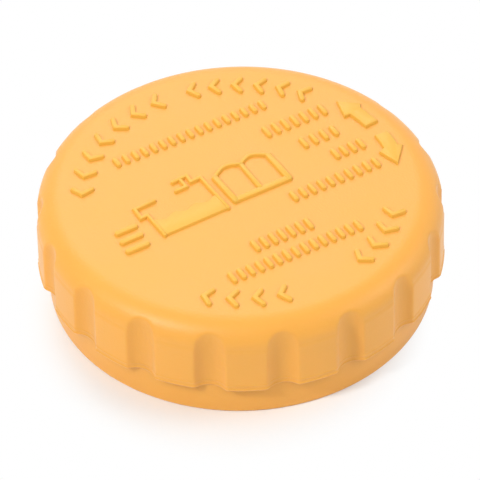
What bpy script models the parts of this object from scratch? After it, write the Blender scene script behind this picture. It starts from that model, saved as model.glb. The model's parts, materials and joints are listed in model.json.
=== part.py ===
# Screw cap of a coolant expansion tank, with its two-way pressure valve.
#
# Metres, +Z up. The origin is the centre of the rim plane, on the cap's axis, so the cap stands
# on its rim at z = 0 and the crown looks up. The grip has a ridge at -Y, which is the front.

import math

import bmesh
import bpy
from mathutils import Matrix, Vector

MM = 0.001
TURN = 2.0 * math.pi

# Clearance between pieces that touch on the real cap
GAP = 0.3 * MM

# Shell: skirt and grip. The bore that takes the tank's neck thread drives every outer radius.
BORE_RADIUS = 28.8 * MM
SKIRT_WALL = 2.65 * MM
BAND_FLARE = 0.15 * MM
FLUTE_STANDOUT = 0.2 * MM
FLUTE_DEPTH = 1.2 * MM
FLUTE_COUNT = 18
FLUTE_RADIUS = 3.4 * MM
LIP_RADIUS = 0.8 * MM
GRIP_DRAFT = 0.2 * MM
STEP_HEIGHT = 6.15 * MM
CAP_HEIGHT = 18.75 * MM
SHOULDER_WIDTH = 4.5 * MM
SHOULDER_DROP = 3.9 * MM
CROWN_THICKNESS = 2.6 * MM
RIM_ROUND = 0.4 * MM
MOUTH_CHAMFER = 0.6 * MM
BORE_CORNER = 1.2 * MM

# Shell: collar of snap hooks that traps the valve housing's flange
COLLAR_GROOVE = 2.6 * MM
COLLAR_WALL = 1.5 * MM
HOOK_OVERLAP = 0.9 * MM
HOOK_THICKNESS = 1.3 * MM
HOOK_LEAD = 0.7 * MM
HOOK_COUNT = 8
HOOK_SLOT = 4.0 * MM

# Valve housing
WASHER_THICKNESS = 0.5 * MM
WASHER_WIDTH = 5.4 * MM
FLANGE_THICKNESS = 1.8 * MM
NECK_SPACE = 7.4 * MM
O_RING_SECTION = 2.8 * MM
O_RING_PROUD = 1.0 * MM
LAND_WIDTH = 1.2 * MM
HOUSING_WALL = 2.3 * MM
FLOOR_LIFT = 1.4 * MM
FLOOR_THICKNESS = 1.8 * MM
NOSE_CHAMFER = 2.6 * MM
NOSE_EDGE = 0.4 * MM
PORT_RADIUS = 6.6 * MM
SEAT_WIDTH = 1.2 * MM
SEAT_HEIGHT = 0.8 * MM
RIB_COUNT = 6
RIB_THICKNESS = 1.4 * MM
RIB_HEIGHT = 6.2 * MM
GUIDE_CLEARANCE = 0.5 * MM
VENT_WIDTH = 6.0 * MM
VENT_HEIGHT = 1.3 * MM

# Spring retainer and its clip
LEDGE_WIDTH = 0.7 * MM
RETAINER_THICKNESS = 0.8 * MM
RETAINER_RISE = 1.95 * MM
RETAINER_SLOPE = 1.56 * MM
RETAINER_HOLE = 2.0 * MM
CLIP_THICKNESS = 0.8 * MM
CLIP_GROOVE_DEPTH = 0.9 * MM
CLIP_WIDTH = 2.1 * MM
CLIP_LIP = 0.4 * MM
CLIP_OPENING = 7.0 * MM
CLIP_EAR_RADIUS = 1.7 * MM
CLIP_EAR_HOLE = 0.7 * MM

# Pressure valve
SEAL_THICKNESS = 1.2 * MM
SEAL_MARGIN = 1.5 * MM
PLATE_THICKNESS = 1.0 * MM
CUP_WALL = 1.2 * MM
CUP_DEPTH = 1.2 * MM
HUB_WALL = 1.0 * MM
HUB_HEIGHT = 1.6 * MM
VACUUM_LIP_WIDTH = 0.8 * MM
VACUUM_LIP_DROP = 0.9 * MM
BLEED_COUNT = 4
BLEED_RADIUS = 0.5 * MM
MAIN_WIRE = 1.3 * MM
MAIN_TURNS = 3.25
MAIN_SPRING_HEIGHT = 7.0 * MM
MAIN_SPRING_INSET = 2.5 * MM
VALVE_LIFT = 1.6 * MM

# Vacuum valve
VACUUM_SEAL_THICKNESS = 1.1 * MM
DISC_THICKNESS = 0.7 * MM
PORT_FLOW_GAP = 1.4 * MM
STEM_RADIUS = 1.2 * MM
STEM_HEAD_RADIUS = 2.6 * MM
STEM_HEAD_THICKNESS = 0.5 * MM
STEM_TIP = 0.4 * MM
STEM_TOP_CLEARANCE = 0.4 * MM
STEM_GROOVE_DEPTH = 0.45 * MM
STEM_CLIP_THICKNESS = 0.4 * MM
STEM_CLIP_WIDTH = 1.3 * MM
STEM_CLIP_OPENING = 1.5 * MM
LIGHT_WIRE = 0.45 * MM
LIGHT_TURNS = 4.0
LIGHT_WASHER_THICKNESS = 0.5 * MM
LIGHT_WASHER_MARGIN = 0.4 * MM

# Radii that follow from the driving sizes
RIM_RADIUS = BORE_RADIUS + SKIRT_WALL
BAND_TOP_RADIUS = RIM_RADIUS + BAND_FLARE
FLUTE_FLOOR_RADIUS = BAND_TOP_RADIUS + FLUTE_STANDOUT
GRIP_RADIUS = FLUTE_FLOOR_RADIUS + FLUTE_DEPTH
COLLAR_OUTER = BORE_RADIUS - COLLAR_GROOVE
COLLAR_INNER = COLLAR_OUTER - COLLAR_WALL
FLANGE_RADIUS = COLLAR_INNER - GAP
HOOK_INNER = FLANGE_RADIUS - HOOK_OVERLAP
LAND_RADIUS = BORE_RADIUS - NECK_SPACE
O_RING_OUTER = LAND_RADIUS + O_RING_PROUD
O_RING_CENTRE = O_RING_OUTER - O_RING_SECTION / 2
BARREL_RADIUS = O_RING_OUTER - O_RING_SECTION - GAP
CAVITY_RADIUS = BARREL_RADIUS - HOUSING_WALL
COUNTERBORE_RADIUS = CAVITY_RADIUS + LEDGE_WIDTH
CLIP_GROOVE_RADIUS = COUNTERBORE_RADIUS + CLIP_GROOVE_DEPTH
SEAT_RADIUS = PORT_RADIUS + SEAT_WIDTH
SEAL_INNER = PORT_RADIUS - SEAL_MARGIN
SEAL_OUTER = SEAT_RADIUS + SEAL_MARGIN
CUP_INNER = SEAL_OUTER + GAP
PLATE_RADIUS = CUP_INNER + CUP_WALL
VACUUM_LIP_OUTER = SEAL_INNER - GAP
VACUUM_LIP_INNER = VACUUM_LIP_OUTER - VACUUM_LIP_WIDTH
HUB_BORE = STEM_RADIUS + GAP
HUB_OUTER = HUB_BORE + HUB_WALL
MAIN_SPRING_RADIUS = PLATE_RADIUS - MAIN_SPRING_INSET
LIGHT_SPRING_RADIUS = HUB_OUTER + GAP + LIGHT_WIRE / 2

# Heights that follow, counted down from the crown
CROWN_UNDERSIDE = CAP_HEIGHT - CROWN_THICKNESS
WASHER_TOP = CROWN_UNDERSIDE - GAP
FLANGE_TOP = WASHER_TOP - WASHER_THICKNESS - GAP
FLANGE_BOTTOM = FLANGE_TOP - FLANGE_THICKNESS
HOOK_TOP = FLANGE_BOTTOM - GAP
HOOK_BOTTOM = HOOK_TOP - HOOK_THICKNESS
CLIP_GROOVE_TOP = FLANGE_TOP - CLIP_LIP
CLIP_TOP = CLIP_GROOVE_TOP - GAP
CLIP_BOTTOM = CLIP_TOP - CLIP_THICKNESS
CLIP_GROOVE_BOTTOM = CLIP_BOTTOM - GAP
RETAINER_RIM_TOP = CLIP_BOTTOM - GAP
RETAINER_RIM_BOTTOM = RETAINER_RIM_TOP - RETAINER_THICKNESS
LEDGE_HEIGHT = RETAINER_RIM_BOTTOM - GAP
RETAINER_TOP = RETAINER_RIM_TOP + RETAINER_RISE
RETAINER_UNDERSIDE = RETAINER_TOP - RETAINER_THICKNESS

# Heights below the main spring: the valve and the floor hang from the crown as well
SPRING_TOP = RETAINER_UNDERSIDE - GAP
SPRING_SEAT = SPRING_TOP - MAIN_SPRING_HEIGHT
PLATE_TOP = SPRING_SEAT - GAP
PLATE_BOTTOM = PLATE_TOP - PLATE_THICKNESS
SEAL_TOP = PLATE_BOTTOM - GAP
SEAL_BOTTOM = SEAL_TOP - SEAL_THICKNESS
SEAT_TOP = SEAL_BOTTOM - GAP
FLOOR_TOP = SEAT_TOP - SEAT_HEIGHT
FLOOR_BOTTOM = FLOOR_TOP - FLOOR_THICKNESS

# Heights of the vacuum valve, and of the O-ring's groove above the housing's nose
VACUUM_LIP_BOTTOM = PLATE_BOTTOM - VACUUM_LIP_DROP
VACUUM_SEAL_TOP = VACUUM_LIP_BOTTOM - GAP
DISC_TOP = VACUUM_SEAL_TOP - VACUUM_SEAL_THICKNESS - GAP
DISC_BOTTOM = DISC_TOP - DISC_THICKNESS
STEM_HEAD_TOP = DISC_BOTTOM - GAP
STEM_TOP = RETAINER_UNDERSIDE - VALVE_LIFT - STEM_TOP_CLEARANCE
STEM_CLIP_TOP = STEM_TOP - STEM_TIP
STEM_CLIP_BOTTOM = STEM_CLIP_TOP - STEM_CLIP_THICKNESS
LIGHT_WASHER_TOP = STEM_CLIP_BOTTOM - GAP
LIGHT_WASHER_BOTTOM = LIGHT_WASHER_TOP - LIGHT_WASHER_THICKNESS
GROOVE_BOTTOM = FLOOR_LIFT + NOSE_CHAMFER + LAND_WIDTH
GROOVE_TOP = GROOVE_BOTTOM + O_RING_SECTION + 2 * GAP
O_RING_HEIGHT = (GROOVE_BOTTOM + GROOVE_TOP) / 2

# Facets round each kind of turned piece, and how far a cutter or a root runs past its face
SHELL_FACETS = 120
HOUSING_FACETS = 48
PLATE_FACETS = 36
SMALL_FACETS = 32
PIN_FACETS = 12
OVERRUN = 1.0 * MM


def clear_scene():
    """Remove whatever objects the file opened with."""
    for thing in list(bpy.data.objects):
        bpy.data.objects.remove(thing, do_unlink=True)


def make_material(name, colour, roughness, metallic=0.0):
    """A Principled material with the piece's own colour."""
    material = bpy.data.materials.new(name)
    material.use_nodes = True
    shader = material.node_tree.nodes["Principled BSDF"]
    shader.inputs["Base Color"].default_value = (*colour, 1.0)
    shader.inputs["Roughness"].default_value = roughness
    shader.inputs["Metallic"].default_value = metallic
    material.diffuse_color = (*colour, 1.0)
    return material


def place_mesh(name, form, material=None):
    """Turn a bmesh into a smooth-shaded object at the origin."""
    bmesh.ops.recalc_face_normals(form, faces=form.faces)
    mesh = bpy.data.meshes.new(name)
    form.to_mesh(mesh)
    form.free()
    mesh.shade_smooth()
    mesh.set_sharp_from_angle(angle=math.radians(35))
    if material:
        mesh.materials.append(material)
    piece = bpy.data.objects.new(name, mesh)
    bpy.context.collection.objects.link(piece)
    return piece


def hide_guide(guide):
    """A guide shape only cuts or joins others; it is not a piece of the cap."""
    guide.hide_render = True
    guide.display_type = "WIRE"
    return guide


def combine(piece, guide, operation):
    """Cut, join or intersect a piece with a guide shape, as a live modifier."""
    step = piece.modifiers.new(f"{operation.lower()} {guide.name}", "BOOLEAN")
    step.operation = operation
    step.solver = "EXACT"
    step.object = guide


def turned(name, outline, material=None, facets=HOUSING_FACETS):
    """Spin a closed outline of (radius, height) points a full turn about the Z axis."""
    form = bmesh.new()
    corners = [form.verts.new((radius, 0.0, height)) for radius, height in outline]
    edges = [form.edges.new((corners[i - 1], corners[i])) for i in range(len(corners))]
    bmesh.ops.spin(
        form, geom=corners + edges, cent=(0, 0, 0), axis=(0, 0, 1), angle=TURN,
        steps=facets, use_merge=True, use_normal_flip=False, use_duplicate=False,
    )
    bmesh.ops.remove_doubles(form, verts=form.verts, dist=0.001 * MM)
    bmesh.ops.dissolve_degenerate(form, edges=form.edges, dist=0.001 * MM)
    return place_mesh(name, form, material)


def extruded(name, outline, bottom, top, material=None, top_scale=1.0):
    """Extrude a flat outline of (x, y) points upward; top_scale gives the walls their draft."""
    form = bmesh.new()
    base = form.faces.new([form.verts.new((x, y, bottom)) for x, y in outline])
    grown = bmesh.ops.extrude_face_region(form, geom=[base])
    rim = [item for item in grown["geom"] if isinstance(item, bmesh.types.BMVert)]
    bmesh.ops.translate(form, verts=rim, vec=(0, 0, top - bottom))
    bmesh.ops.scale(form, verts=rim, vec=(top_scale, top_scale, 1.0))
    return place_mesh(name, form, material)


def spoked_blocks(name, count, start, inner, outer, width, bottom, top):
    """Equal blocks that stand out from the axis like spokes, as one guide mesh."""
    form = bmesh.new()
    size = Matrix.Diagonal((outer - inner, width, top - bottom, 1.0))
    centre = Matrix.Translation(((inner + outer) / 2, 0.0, (bottom + top) / 2))
    for index in range(count):
        spin = Matrix.Rotation(start + index * TURN / count, 4, "Z")
        bmesh.ops.create_cube(form, size=1.0, matrix=spin @ centre @ size)
    return hide_guide(place_mesh(name, form))


def upright_pins(name, places, radius, bottom, top):
    """Upright round cutters at the given (x, y) places, as one guide mesh."""
    form = bmesh.new()
    for x, y in places:
        middle = Matrix.Translation((x, y, (bottom + top) / 2))
        bmesh.ops.create_cone(
            form, cap_ends=True, segments=PIN_FACETS, radius1=radius, radius2=radius,
            depth=top - bottom, matrix=middle,
        )
    return hide_guide(place_mesh(name, form))


def arc_points(centre, radius, start, end, steps):
    """Points on a circle from one angle to another, both ends included."""
    points = []
    for index in range(steps + 1):
        angle = start + (end - start) * index / steps
        points.append((centre[0] + radius * math.cos(angle), centre[1] + radius * math.sin(angle)))
    return points


def on_circle(radius, angle):
    """The point of a circle about the axis at this angle."""
    return (radius * math.cos(angle), radius * math.sin(angle))


def fluted_outline():
    """Plan of the grip: ridges on the grip circle, round flutes between them, rounded lips.

    A lip is a circle that touches the grip circle from inside and the flute's circle from
    outside. Its centre is found from the triangle axis, flute centre, lip centre.
    """
    flute_centre = FLUTE_FLOOR_RADIUS + FLUTE_RADIUS
    lip_centre = GRIP_RADIUS - LIP_RADIUS
    reach = FLUTE_RADIUS + LIP_RADIUS
    cosine = (lip_centre**2 + flute_centre**2 - reach**2) / (2 * lip_centre * flute_centre)
    lip_angle = math.acos(cosine)
    lip_x, lip_y = on_circle(lip_centre, lip_angle)
    flute_half = math.atan2(lip_y, flute_centre - lip_x)
    pitch = TURN / FLUTE_COUNT

    # One pitch of the outline, drawn with its flute on +X and its points going anticlockwise
    lower_lip = arc_points((lip_x, -lip_y), LIP_RADIUS, -lip_angle, flute_half, 2)
    flute = arc_points(
        (flute_centre, 0.0), FLUTE_RADIUS, math.pi + flute_half, math.pi - flute_half, 5)
    upper_lip = arc_points((lip_x, lip_y), LIP_RADIUS, -flute_half, lip_angle, 2)
    ridge = arc_points((0.0, 0.0), GRIP_RADIUS, lip_angle, pitch - lip_angle, 2)
    one_pitch = lower_lip[:-1] + flute[:-1] + upper_lip[:-1] + ridge[:-1]

    # The first flute stands half a pitch beside the front ridge, which points to -Y
    outline = []
    for index in range(FLUTE_COUNT):
        turn = Matrix.Rotation(-math.pi / 2 + (index + 0.5) * pitch, 2)
        outline += [tuple(turn @ Vector(point)) for point in one_pitch]
    return outline


def crown_outline():
    """Half section of the envelope of crown and shoulder, from the axis out and down.

    The shoulder is a quarter ellipse between the crown's edge and the drafted wall.
    """
    crown_edge = GRIP_RADIUS - GRIP_DRAFT - SHOULDER_WIDTH
    shoulder_foot = CAP_HEIGHT - SHOULDER_DROP
    outline = [(0.0, -OVERRUN), (0.0, CAP_HEIGHT)]
    steps = 6
    for index in range(steps + 1):
        angle = math.pi / 2 * (1 - index / steps)
        outline.append((
            crown_edge + SHOULDER_WIDTH * math.cos(angle),
            shoulder_foot + SHOULDER_DROP * math.sin(angle),
        ))
    outline.append((GRIP_RADIUS + OVERRUN, shoulder_foot - OVERRUN))
    outline.append((GRIP_RADIUS + OVERRUN, -OVERRUN))
    return outline


def make_cap_shell(material):
    """The yellow moulding: fluted grip, crown, lower band, bore and snap collar."""
    shell = extruded(
        "cap_shell", fluted_outline(), STEP_HEIGHT, CAP_HEIGHT + OVERRUN, material,
        top_scale=1.0 - GRIP_DRAFT / GRIP_RADIUS)
    crown = turned("crown_envelope", crown_outline(), facets=SHELL_FACETS)
    combine(shell, hide_guide(crown), "INTERSECT")

    band = turned("lower_band", [
        (0.0, 0.0),
        (RIM_RADIUS - RIM_ROUND, 0.0),
        (RIM_RADIUS - RIM_ROUND * 0.3, RIM_ROUND * 0.3),
        (RIM_RADIUS, RIM_ROUND),
        (BAND_TOP_RADIUS, STEP_HEIGHT),
        (BAND_TOP_RADIUS, STEP_HEIGHT + OVERRUN),
        (0.0, STEP_HEIGHT + OVERRUN),
    ], facets=SHELL_FACETS // 2)
    combine(shell, hide_guide(band), "UNION")

    bore = turned("bore_cutter", [
        (0.0, -OVERRUN),
        (BORE_RADIUS + MOUTH_CHAMFER + OVERRUN, -OVERRUN),
        (BORE_RADIUS + MOUTH_CHAMFER, 0.0),
        (BORE_RADIUS, MOUTH_CHAMFER),
        (BORE_RADIUS, CROWN_UNDERSIDE - BORE_CORNER),
        (BORE_RADIUS - BORE_CORNER * 0.3, CROWN_UNDERSIDE - BORE_CORNER * 0.3),
        (BORE_RADIUS - BORE_CORNER, CROWN_UNDERSIDE),
        (0.0, CROWN_UNDERSIDE),
    ])
    combine(shell, hide_guide(bore), "DIFFERENCE")

    collar = turned("snap_collar", [
        (COLLAR_INNER, CROWN_UNDERSIDE + OVERRUN),
        (COLLAR_INNER, HOOK_TOP),
        (HOOK_INNER, HOOK_TOP),
        (HOOK_INNER, HOOK_TOP - (HOOK_THICKNESS - HOOK_LEAD)),
        (HOOK_INNER + HOOK_LEAD, HOOK_BOTTOM),
        (COLLAR_OUTER, HOOK_BOTTOM),
        (COLLAR_OUTER, CROWN_UNDERSIDE + OVERRUN),
    ])
    slots = spoked_blocks(
        "collar_slots", HOOK_COUNT, math.pi / HOOK_COUNT, HOOK_INNER - OVERRUN,
        COLLAR_OUTER + OVERRUN, HOOK_SLOT, HOOK_BOTTOM - OVERRUN, CROWN_UNDERSIDE + 2 * OVERRUN)
    combine(collar, slots, "DIFFERENCE")
    combine(shell, hide_guide(collar), "UNION")
    return shell


def make_slip_washer(material):
    """Thin ring between the crown's underside and the housing's flange."""
    inner = FLANGE_RADIUS - WASHER_WIDTH
    bottom = WASHER_TOP - WASHER_THICKNESS
    return turned("slip_washer", [
        (inner, bottom),
        (FLANGE_RADIUS, bottom),
        (FLANGE_RADIUS, WASHER_TOP),
        (inner, WASHER_TOP),
    ], material)


def make_valve_housing(material):
    """Turned pot with flange, O-ring groove, port and seat, then guide ribs and side vents."""
    housing = turned("valve_housing", [
        (FLANGE_RADIUS, FLANGE_TOP),
        (FLANGE_RADIUS, FLANGE_BOTTOM),
        (BARREL_RADIUS, FLANGE_BOTTOM),
        (BARREL_RADIUS, GROOVE_TOP + LAND_WIDTH),
        (LAND_RADIUS, GROOVE_TOP + LAND_WIDTH),
        (LAND_RADIUS, GROOVE_TOP),
        (BARREL_RADIUS, GROOVE_TOP),
        (BARREL_RADIUS, GROOVE_BOTTOM),
        (LAND_RADIUS, GROOVE_BOTTOM),
        (LAND_RADIUS, GROOVE_BOTTOM - LAND_WIDTH),
        (LAND_RADIUS - NOSE_CHAMFER, FLOOR_LIFT),
        (LAND_RADIUS - NOSE_CHAMFER - NOSE_EDGE, FLOOR_BOTTOM),
        (PORT_RADIUS, FLOOR_BOTTOM),
        (PORT_RADIUS, SEAT_TOP),
        (SEAT_RADIUS, SEAT_TOP),
        (SEAT_RADIUS, FLOOR_TOP),
        (CAVITY_RADIUS, FLOOR_TOP),
        (CAVITY_RADIUS, LEDGE_HEIGHT),
        (COUNTERBORE_RADIUS, LEDGE_HEIGHT),
        (COUNTERBORE_RADIUS, CLIP_GROOVE_BOTTOM),
        (CLIP_GROOVE_RADIUS, CLIP_GROOVE_BOTTOM),
        (CLIP_GROOVE_RADIUS, CLIP_GROOVE_TOP),
        (COUNTERBORE_RADIUS, CLIP_GROOVE_TOP),
        (COUNTERBORE_RADIUS, FLANGE_TOP),
    ], material)
    ribs = spoked_blocks(
        "guide_ribs", RIB_COUNT, 0.0, PLATE_RADIUS + GUIDE_CLEARANCE,
        CAVITY_RADIUS + HOUSING_WALL / 2, RIB_THICKNESS, FLOOR_TOP - FLOOR_THICKNESS / 2,
        FLOOR_TOP + RIB_HEIGHT)
    combine(housing, ribs, "UNION")
    vent_top = LEDGE_HEIGHT - GAP
    vents = spoked_blocks(
        "side_vents", RIB_COUNT, math.pi / RIB_COUNT, CAVITY_RADIUS - OVERRUN,
        BARREL_RADIUS + OVERRUN, VENT_WIDTH, vent_top - VENT_HEIGHT, vent_top)
    combine(housing, vents, "DIFFERENCE")
    return housing


def make_neck_o_ring(material):
    """Round-section rubber ring in the housing's groove."""
    section = arc_points(
        (O_RING_CENTRE, O_RING_HEIGHT), O_RING_SECTION / 2, 0.0, TURN, 10)[:-1]
    return turned("neck_o_ring", section, material)


def make_spring_retainer(material):
    """Pressed dish: flat rim on the housing's ledge, raised middle over the main spring."""
    rim_radius = COUNTERBORE_RADIUS - GAP
    inner_wall = MAIN_SPRING_RADIUS + MAIN_WIRE
    outer_wall = inner_wall + RETAINER_THICKNESS / 3
    return turned("spring_retainer", [
        (rim_radius, RETAINER_RIM_TOP),
        (rim_radius, RETAINER_RIM_BOTTOM),
        (inner_wall + RETAINER_SLOPE, RETAINER_RIM_BOTTOM),
        (inner_wall, RETAINER_UNDERSIDE),
        (RETAINER_HOLE, RETAINER_UNDERSIDE),
        (RETAINER_HOLE, RETAINER_TOP),
        (outer_wall, RETAINER_TOP),
        (outer_wall + RETAINER_SLOPE, RETAINER_RIM_TOP),
    ], material)


def make_retaining_clip(material):
    """Internal circlip: a ring with an opening at the back and an ear at each end."""
    outer = CLIP_GROOVE_RADIUS - GAP
    inner = outer - CLIP_WIDTH
    clip = turned("retaining_clip", [
        (inner, CLIP_BOTTOM),
        (outer, CLIP_BOTTOM),
        (outer, CLIP_TOP),
        (inner, CLIP_TOP),
    ], material)
    opening = spoked_blocks(
        "clip_opening", 1, math.pi / 2, inner - OVERRUN, outer + OVERRUN, CLIP_OPENING,
        CLIP_BOTTOM - OVERRUN, CLIP_TOP + OVERRUN)
    combine(clip, opening, "DIFFERENCE")
    ear_centre = inner - CLIP_EAR_HOLE / 2
    ear_angle = math.asin((CLIP_OPENING / 2 + CLIP_EAR_RADIUS) / inner)
    places = [on_circle(ear_centre, math.pi / 2 + side * ear_angle) for side in (-1, 1)]
    ears = upright_pins("clip_ears", places, CLIP_EAR_RADIUS, CLIP_BOTTOM, CLIP_TOP)
    combine(clip, ears, "UNION")
    holes = upright_pins(
        "clip_ear_holes", places, CLIP_EAR_HOLE, CLIP_BOTTOM - OVERRUN, CLIP_TOP + OVERRUN)
    combine(clip, holes, "DIFFERENCE")
    return clip


def make_pressure_plate(material):
    """Plunger: cup round the seal, inner lip for the vacuum seal, hub that guides the stem."""
    plate = turned("pressure_plate", [
        (HUB_BORE, PLATE_BOTTOM),
        (VACUUM_LIP_INNER, PLATE_BOTTOM),
        (VACUUM_LIP_INNER, VACUUM_LIP_BOTTOM),
        (VACUUM_LIP_OUTER, VACUUM_LIP_BOTTOM),
        (VACUUM_LIP_OUTER, PLATE_BOTTOM),
        (CUP_INNER, PLATE_BOTTOM),
        (CUP_INNER, PLATE_BOTTOM - CUP_DEPTH),
        (PLATE_RADIUS, PLATE_BOTTOM - CUP_DEPTH),
        (PLATE_RADIUS, PLATE_TOP),
        (HUB_OUTER, PLATE_TOP),
        (HUB_OUTER, PLATE_TOP + HUB_HEIGHT),
        (HUB_BORE, PLATE_TOP + HUB_HEIGHT),
    ], material, facets=PLATE_FACETS)
    middle = (HUB_OUTER + VACUUM_LIP_INNER) / 2
    places = [on_circle(middle, index * TURN / BLEED_COUNT) for index in range(BLEED_COUNT)]
    bleeds = upright_pins(
        "bleed_holes", places, BLEED_RADIUS, PLATE_BOTTOM - OVERRUN, PLATE_TOP + OVERRUN)
    combine(plate, bleeds, "DIFFERENCE")
    return plate


def make_flat_ring(name, inner, outer, bottom, top, material):
    """A washer-like ring of square section."""
    return turned(
        name, [(inner, bottom), (outer, bottom), (outer, top), (inner, top)], material,
        facets=SMALL_FACETS)


def make_vacuum_stem(material):
    """Headed pin with a groove near its tip for the clip."""
    groove_radius = STEM_RADIUS - STEM_GROOVE_DEPTH
    head_bottom = STEM_HEAD_TOP - STEM_HEAD_THICKNESS
    tip_chamfer = STEM_TIP / 3
    groove_margin = GAP / 3
    return turned("vacuum_stem", [
        (0.0, head_bottom),
        (STEM_HEAD_RADIUS, head_bottom),
        (STEM_HEAD_RADIUS, STEM_HEAD_TOP),
        (STEM_RADIUS, STEM_HEAD_TOP),
        (STEM_RADIUS, STEM_CLIP_BOTTOM - groove_margin),
        (groove_radius, STEM_CLIP_BOTTOM - groove_margin),
        (groove_radius, STEM_CLIP_TOP + groove_margin),
        (STEM_RADIUS, STEM_CLIP_TOP + groove_margin),
        (STEM_RADIUS, STEM_TOP - tip_chamfer),
        (STEM_RADIUS - tip_chamfer, STEM_TOP),
        (0.0, STEM_TOP),
    ], material, facets=SMALL_FACETS // 2)


def make_stem_clip(material):
    """Open clip in the stem's groove."""
    inner = STEM_RADIUS - STEM_GROOVE_DEPTH + GAP / 2
    outer = inner + STEM_CLIP_WIDTH
    clip = make_flat_ring(
        "stem_clip", inner, outer, STEM_CLIP_BOTTOM, STEM_CLIP_TOP, material)
    opening = spoked_blocks(
        "stem_clip_opening", 1, 0.0, 0.0, outer + OVERRUN, STEM_CLIP_OPENING,
        STEM_CLIP_BOTTOM - OVERRUN, STEM_CLIP_TOP + OVERRUN)
    combine(clip, opening, "DIFFERENCE")
    return clip


def make_coil(name, radius, wire, turns, bottom, top, facets, material):
    """Compression spring: a wire section swept round a helix with flat quarter-turn ends."""
    steps_per_turn = 20
    flat_turns = 0.25
    low = bottom + wire / 2
    rise = top - bottom - wire
    steps = round(turns * steps_per_turn)
    form = bmesh.new()
    rings = []
    for index in range(steps + 1):
        turn = turns * index / steps
        share = (turn - flat_turns) / (turns - 2 * flat_turns)
        height = low + rise * min(max(share, 0.0), 1.0)
        angle = turn * TURN
        ring = []
        for facet in range(facets):
            around = TURN * facet / facets
            reach = radius + wire / 2 * math.cos(around)
            x, y = on_circle(reach, angle)
            ring.append(form.verts.new((x, y, height + wire / 2 * math.sin(around))))
        rings.append(ring)
    for ring, following in zip(rings, rings[1:]):
        for facet in range(facets):
            after = (facet + 1) % facets
            form.faces.new((ring[facet], ring[after], following[after], following[facet]))
    form.faces.new(rings[0])
    form.faces.new(rings[-1])
    return place_mesh(name, form, material)


def build():
    """Model every piece of the cap in its place."""
    clear_scene()
    yellow = make_material("yellow_plastic", (0.91, 0.52, 0.13), 0.48)
    black = make_material("black_plastic", (0.03, 0.03, 0.032), 0.45)
    white = make_material("natural_plastic", (0.78, 0.77, 0.72), 0.4)
    rubber = make_material("black_rubber", (0.015, 0.015, 0.016), 0.65)
    steel = make_material("spring_steel", (0.62, 0.62, 0.6), 0.28, 1.0)
    brass = make_material("brass", (0.75, 0.58, 0.28), 0.3, 1.0)

    make_cap_shell(yellow)
    make_slip_washer(white)
    make_valve_housing(black)
    make_neck_o_ring(rubber)
    make_spring_retainer(steel)
    make_retaining_clip(steel)
    make_coil(
        "pressure_spring", MAIN_SPRING_RADIUS, MAIN_WIRE, MAIN_TURNS, SPRING_SEAT, SPRING_TOP,
        8, steel)
    make_pressure_plate(white)
    make_flat_ring("pressure_seal", SEAL_INNER, SEAL_OUTER, SEAL_BOTTOM, SEAL_TOP, rubber)
    make_flat_ring(
        "vacuum_seal", HUB_BORE, VACUUM_LIP_OUTER, VACUUM_SEAL_TOP - VACUUM_SEAL_THICKNESS,
        VACUUM_SEAL_TOP, rubber)
    make_flat_ring(
        "vacuum_disc", HUB_BORE, PORT_RADIUS - PORT_FLOW_GAP, DISC_BOTTOM, DISC_TOP, brass)
    make_vacuum_stem(brass)
    make_coil(
        "vacuum_spring", LIGHT_SPRING_RADIUS, LIGHT_WIRE, LIGHT_TURNS, SPRING_SEAT,
        LIGHT_WASHER_BOTTOM - GAP, 6, steel)
    make_flat_ring(
        "vacuum_spring_washer", HUB_BORE, LIGHT_SPRING_RADIUS + LIGHT_WIRE / 2
        + LIGHT_WASHER_MARGIN, LIGHT_WASHER_BOTTOM, LIGHT_WASHER_TOP, steel)
    make_stem_clip(steel)


build()
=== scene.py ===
# %% [markdown]
# # A coolant tank cap, part by part
#
# This lesson dresses the solids of a screw cap in their real surfaces. The solids come in as a
# fixed frame: they say where each piece is and what it moves with. Each cell below makes one
# visible piece round them, or one finish, in metres and with +Z up.

# %% Load the frame
import json

import bpy
import numpy as np
from mathutils import Matrix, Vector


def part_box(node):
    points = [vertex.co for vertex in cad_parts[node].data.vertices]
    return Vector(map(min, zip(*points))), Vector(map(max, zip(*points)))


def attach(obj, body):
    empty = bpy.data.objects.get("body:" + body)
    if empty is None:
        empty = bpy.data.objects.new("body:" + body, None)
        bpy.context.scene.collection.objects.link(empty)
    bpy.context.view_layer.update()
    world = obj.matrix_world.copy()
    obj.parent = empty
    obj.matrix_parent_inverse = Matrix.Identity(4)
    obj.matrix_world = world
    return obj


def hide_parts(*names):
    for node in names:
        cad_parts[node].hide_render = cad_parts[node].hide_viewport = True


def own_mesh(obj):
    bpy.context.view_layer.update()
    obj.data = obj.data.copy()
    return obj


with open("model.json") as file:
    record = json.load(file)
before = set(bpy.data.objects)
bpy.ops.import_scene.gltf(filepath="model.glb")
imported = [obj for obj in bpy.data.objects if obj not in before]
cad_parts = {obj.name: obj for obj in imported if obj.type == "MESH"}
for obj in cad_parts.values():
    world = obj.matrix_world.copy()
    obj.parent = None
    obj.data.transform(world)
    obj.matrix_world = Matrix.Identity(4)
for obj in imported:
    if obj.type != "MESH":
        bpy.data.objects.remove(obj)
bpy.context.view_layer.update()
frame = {"record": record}

scene = bpy.context.scene
MM = 0.001
TURN = 2.0 * np.pi
shell_low, shell_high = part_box("cap_shell")
GRIP_RADIUS = -shell_low.y
CAP_HEIGHT = shell_high.z
print(f"grip {2000 * GRIP_RADIUS:.1f} mm across, {1000 * CAP_HEIGHT:.2f} mm high")

# %% [markdown]
# ## The camera
#
# The photograph looks down at the cap at about 43 degrees from half a metre away, through a long
# lens. The camera is placed first, because every later choice is judged through it. It is given
# by three directions (right, up and forward) and by how far the cap's axis lies off the middle.

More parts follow.
